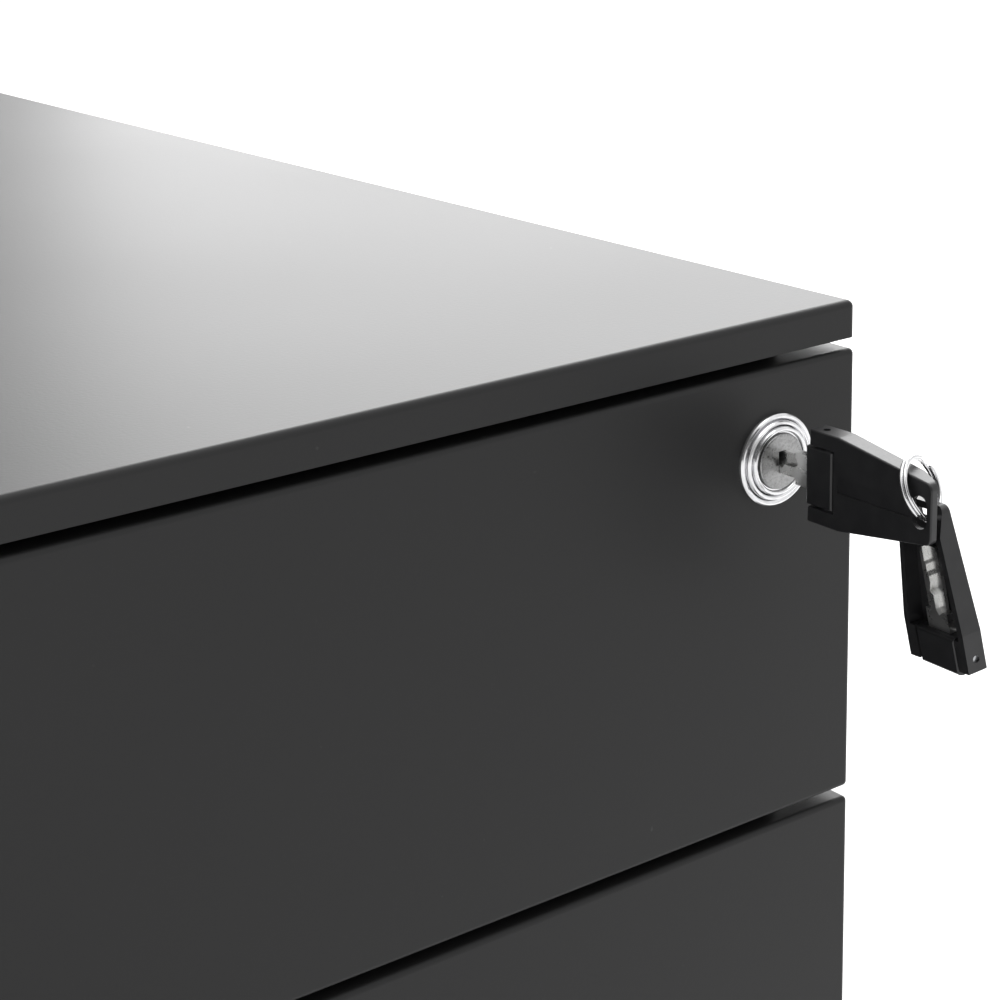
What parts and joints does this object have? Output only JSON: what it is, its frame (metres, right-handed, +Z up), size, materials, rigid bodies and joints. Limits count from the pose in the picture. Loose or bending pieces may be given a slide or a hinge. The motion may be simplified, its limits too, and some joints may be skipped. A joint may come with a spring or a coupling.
{
  "type": "filing cabinet",
  "caption": "Mobile steel drawer pedestal with handle-less overlay fronts, finger channels, a central cam lock with folding keys on a split ring, and castors.",
  "frame": {"origin": "centre of the footprint, keys included, at floor level", "axes": "+X to the user's right facing the drawers, +Y to the cabinet's back, +Z up"},
  "size_m": [0.39, 0.6512, 0.6],
  "materials": {
    "powder_coat": "satin black powder coat",
    "zinc_steel": "bright zinc plate",
    "chrome": "polished chrome plate",
    "key_steel": "nickel-plated key blade",
    "key_plastic": "moulded black plastic, fine grain",
    "castor_plastic": "moulded black nylon"
  },
  "bodies": {
    "cabinet": {"top_panel": "powder_coat", "left_side_panel": "powder_coat", "right_side_panel": "powder_coat", "back_panel": "powder_coat", "base_panel": "powder_coat", "front_top_rail": "powder_coat", "back_rivets": "zinc_steel", "cabinet_slides_1": "zinc_steel", "cabinet_slides_2": "zinc_steel", "cabinet_slides_3": "zinc_steel", "lock_bar_guides": "zinc_steel", "castor_plates": "zinc_steel", "castor_screws": "zinc_steel"},
    "drawer_1": {"drawer_1_front": "powder_coat", "drawer_1_liner": "powder_coat", "drawer_1_tray": "powder_coat", "drawer_slides_1": "zinc_steel", "lock_rosette": "chrome", "lock_barrel": "zinc_steel", "lock_nut": "zinc_steel"},
    "drawer_2": {"drawer_2_front": "powder_coat", "drawer_2_liner": "powder_coat", "drawer_2_tray": "powder_coat", "drawer_slides_2": "zinc_steel"},
    "drawer_3": {"drawer_3_front": "powder_coat", "drawer_3_liner": "powder_coat", "drawer_3_tray": "powder_coat", "drawer_slides_3": "zinc_steel", "hanging_rails": "zinc_steel"},
    "middle_slides_1": {"middle_slides_1": "zinc_steel"},
    "middle_slides_2": {"middle_slides_2": "zinc_steel"},
    "middle_slides_3": {"middle_slides_3": "zinc_steel"},
    "lock_plug": {"lock_plug": "chrome", "lock_cam": "zinc_steel"},
    "lock_bar": {"lock_bar": "zinc_steel"},
    "key_1_blade": {"key_1_blade": "key_steel", "key_1_block": "key_plastic"},
    "key_1_head": {"key_1_head": "key_plastic", "key_1_pin": "zinc_steel"},
    "key_ring": {"key_ring": "chrome"},
    "key_2_head": {"key_2_head": "key_plastic", "key_2_pin": "zinc_steel"},
    "key_2_blade": {"key_2_blade": "key_steel", "key_2_block": "key_plastic"},
    "castor_1": {"castor_fork_1": "zinc_steel", "castor_axle_1": "zinc_steel"},
    "wheel_1": {"castor_wheel_1": "castor_plastic"},
    "brake_1": {"brake_lever_1": "castor_plastic"},
    "castor_2": {"castor_fork_2": "zinc_steel", "castor_axle_2": "zinc_steel"},
    "wheel_2": {"castor_wheel_2": "castor_plastic"},
    "brake_2": {"brake_lever_2": "castor_plastic"},
    "castor_3": {"castor_fork_3": "zinc_steel", "castor_axle_3": "zinc_steel"},
    "wheel_3": {"castor_wheel_3": "castor_plastic"},
    "castor_4": {"castor_fork_4": "zinc_steel", "castor_axle_4": "zinc_steel"},
    "wheel_4": {"castor_wheel_4": "castor_plastic"}
  },
  "joints": [
    {"name": "drawer_1_slide", "type": "slide", "parent": "cabinet", "child": "drawer_1", "axis": [0, -1, 0], "range_m": [0, 0.4]},
    {"name": "middle_slides_1_slide", "type": "slide", "parent": "cabinet", "child": "middle_slides_1", "axis": [0, -1, 0], "range_m": [0, 0.2]},
    {"name": "drawer_2_slide", "type": "slide", "parent": "cabinet", "child": "drawer_2", "axis": [0, -1, 0], "range_m": [0, 0.4]},
    {"name": "middle_slides_2_slide", "type": "slide", "parent": "cabinet", "child": "middle_slides_2", "axis": [0, -1, 0], "range_m": [0, 0.2]},
    {"name": "drawer_3_slide", "type": "slide", "parent": "cabinet", "child": "drawer_3", "axis": [0, -1, 0], "range_m": [0, 0.4]},
    {"name": "middle_slides_3_slide", "type": "slide", "parent": "cabinet", "child": "middle_slides_3", "axis": [0, -1, 0], "range_m": [0, 0.2]},
    {"name": "lock_turn", "type": "hinge", "parent": "drawer_1", "child": "lock_plug", "pos_m": [0.1649, -0.25495, 0.5608], "axis": [0, 1, 0], "range_deg": [0, 90]},
    {"name": "lock_bar_drop", "type": "slide", "parent": "cabinet", "child": "lock_bar", "axis": [0, 0, -1], "range_m": [0, 0.01131]},
    {"name": "key_1_pull", "type": "slide", "parent": "lock_plug", "child": "key_1_blade", "axis": [0, -1, 0], "range_m": [0, 0.03]},
    {"name": "key_1_fold", "type": "hinge", "parent": "key_1_blade", "child": "key_1_head", "pos_m": [0.1649, -0.2755, 0.5608], "axis": [0, 0, 1], "range_deg": [0, 90]},
    {"name": "key_ring_swing", "type": "hinge", "parent": "key_1_head", "child": "key_ring", "pos_m": [0.1629, -0.31215, 0.5596], "axis": [1, 0, 0], "range_deg": [0, 20]},
    {"name": "key_2_swing", "type": "hinge", "parent": "key_ring", "child": "key_2_head", "pos_m": [0.17085, -0.30735, 0.5577], "axis": [1, 0, 0], "range_deg": [-20, 0]},
    {"name": "key_2_fold", "type": "hinge", "parent": "key_2_head", "child": "key_2_blade", "pos_m": [0.17357, -0.31158, 0.52108], "axis": [-0.1889, -0.9769, 0.1003], "range_deg": [0, 180]},
    {"name": "castor_1_swivel", "type": "hinge", "parent": "cabinet", "child": "castor_1", "pos_m": [-0.15, -0.19295, 0.046], "axis": [0, 0, 1], "continuous": true},
    {"name": "wheel_1_turn", "type": "hinge", "parent": "castor_1", "child": "wheel_1", "pos_m": [-0.15, -0.21095, 0.019], "axis": [1, 0, 0], "continuous": true},
    {"name": "brake_1_press", "type": "hinge", "parent": "castor_1", "child": "brake_1", "pos_m": [-0.15, -0.20895, 0.036], "axis": [1, 0, 0], "range_deg": [0, 8]},
    {"name": "castor_2_swivel", "type": "hinge", "parent": "cabinet", "child": "castor_2", "pos_m": [0.15, -0.19295, 0.046], "axis": [0, 0, 1], "continuous": true},
    {"name": "wheel_2_turn", "type": "hinge", "parent": "castor_2", "child": "wheel_2", "pos_m": [0.15, -0.21095, 0.019], "axis": [1, 0, 0], "continuous": true},
    {"name": "brake_2_press", "type": "hinge", "parent": "castor_2", "child": "brake_2", "pos_m": [0.15, -0.20895, 0.036], "axis": [1, 0, 0], "range_deg": [0, 8]},
    {"name": "castor_3_swivel", "type": "hinge", "parent": "cabinet", "child": "castor_3", "pos_m": [-0.15, 0.26305, 0.046], "axis": [0, 0, 1], "continuous": true},
    {"name": "wheel_3_turn", "type": "hinge", "parent": "castor_3", "child": "wheel_3", "pos_m": [-0.15, 0.28105, 0.019], "axis": [1, 0, 0], "continuous": true},
    {"name": "castor_4_swivel", "type": "hinge", "parent": "cabinet", "child": "castor_4", "pos_m": [0.15, 0.26305, 0.046], "axis": [0, 0, 1], "continuous": true},
    {"name": "wheel_4_turn", "type": "hinge", "parent": "castor_4", "child": "wheel_4", "pos_m": [0.15, 0.28105, 0.019], "axis": [1, 0, 0], "continuous": true}
  ],
  "couplings": [
    {"joint": "middle_slides_1_slide", "follows": "drawer_1_slide", "ratio": 0.5},
    {"joint": "middle_slides_2_slide", "follows": "drawer_2_slide", "ratio": 0.5},
    {"joint": "middle_slides_3_slide", "follows": "drawer_3_slide", "ratio": 0.5},
    {"joint": "lock_turn", "follows": "lock_bar_drop", "rad_per_m": 138.84}
  ]
}
